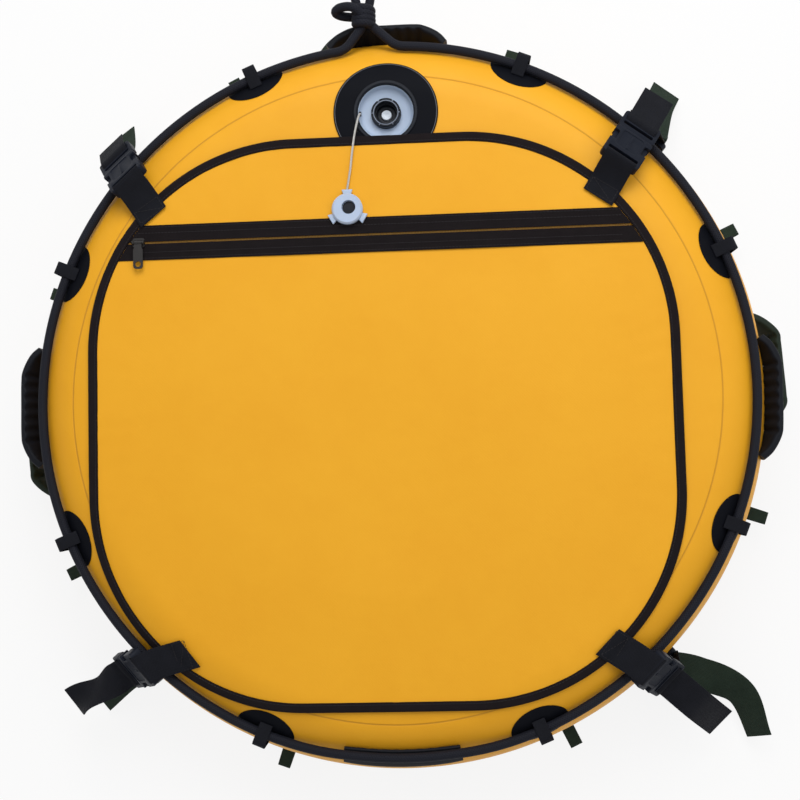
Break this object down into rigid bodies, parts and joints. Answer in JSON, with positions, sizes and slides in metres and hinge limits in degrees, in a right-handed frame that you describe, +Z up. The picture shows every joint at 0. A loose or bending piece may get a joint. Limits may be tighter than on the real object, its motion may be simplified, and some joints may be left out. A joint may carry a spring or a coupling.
{
  "type": "dive training buoy",
  "caption": "Inflatable round dive training buoy with a zipped gear cover, rim rope on webbing loops, carry handles, buckled corner straps and a capped inflation valve.",
  "frame": {"origin": "middle of the rear panel's underside, on the ring's axis, where the buoy lies on the floor", "axes": "+Z up out of the gear cover, +Y towards the inflation valve, +X to the right when the cover is seen from the front with the valve at the top"},
  "size_m": [0.8706, 0.8544, 0.1784],
  "materials": {
    "yellow_tarpaulin": "satin coated",
    "yellow_cover": "coated",
    "black_patch": "satin moulded",
    "black_binding": "matte",
    "zip_tape": "matte",
    "zip_teeth": "matte",
    "zip_metal": "satin",
    "rear_fabric": "coated",
    "valve_plastic": "satin",
    "valve_button": "satin",
    "cap_rubber": "satin",
    "white_cord": "matte",
    "black_rope": "braided",
    "black_webbing": "woven",
    "rear_webbing": "woven",
    "handle_rubber": "satin",
    "buckle_plastic": "satin"
  },
  "bodies": {
    "buoy": {"air_ring": "yellow_tarpaulin", "cover_upper": "yellow_cover", "cover_lower": "yellow_cover", "cover_binding": "black_binding", "zip_tape_upper": "zip_tape", "zip_tape_lower": "zip_tape", "zip_coil": "zip_teeth", "rear_panel": "rear_fabric", "rear_binding": "black_binding", "valve_patch": "black_patch", "valve_cup": "valve_plastic", "valve_hub": "valve_plastic", "valve_button": "valve_button", "valve_cap": "cap_rubber", "cap_tether": "white_cord", "rim_rope": "black_rope", "front_patches": "black_patch", "front_loops": "black_webbing", "rear_patches": "black_patch", "rear_loops": "rear_webbing", "front_anchors": "black_webbing", "rear_anchors": "rear_webbing", "front_handle_right": "handle_rubber", "rear_handle_right": "handle_rubber", "front_handle_top": "handle_rubber", "rear_handle_top": "handle_rubber", "front_handle_left": "handle_rubber", "rear_handle_left": "handle_rubber", "front_handle_bottom": "handle_rubber", "rear_handle_bottom": "handle_rubber", "front_socket_upper_right": "buckle_plastic", "front_plug_upper_right": "buckle_plastic", "rear_socket_upper_right": "buckle_plastic", "rear_plug_upper_right": "buckle_plastic", "strap_upper_right": "black_webbing", "front_socket_upper_left": "buckle_plastic", "front_plug_upper_left": "buckle_plastic", "rear_socket_upper_left": "buckle_plastic", "rear_plug_upper_left": "buckle_plastic", "strap_upper_left": "black_webbing", "front_socket_lower_left": "buckle_plastic", "front_plug_lower_left": "buckle_plastic", "rear_socket_lower_left": "buckle_plastic", "rear_plug_lower_left": "buckle_plastic", "strap_lower_left": "black_webbing", "front_socket_lower_right": "buckle_plastic", "front_plug_lower_right": "buckle_plastic", "rear_socket_lower_right": "buckle_plastic", "rear_plug_lower_right": "buckle_plastic", "strap_lower_right": "black_webbing"},
    "slider": {"zip_slider": "zip_metal"},
    "pull": {"zip_pull": "zip_metal"}
  },
  "joints": [
    {"name": "zip_slide", "type": "slide", "parent": "buoy", "child": "slider", "axis": [1, 0, 0], "range_m": [0, 0.515]},
    {"name": "zip_pull_swing", "type": "hinge", "parent": "slider", "child": "pull", "pos_m": [-0.27, 0.1715, 0.1627], "axis": [-1, 0, 0], "range_deg": [0, 170]}
  ]
}
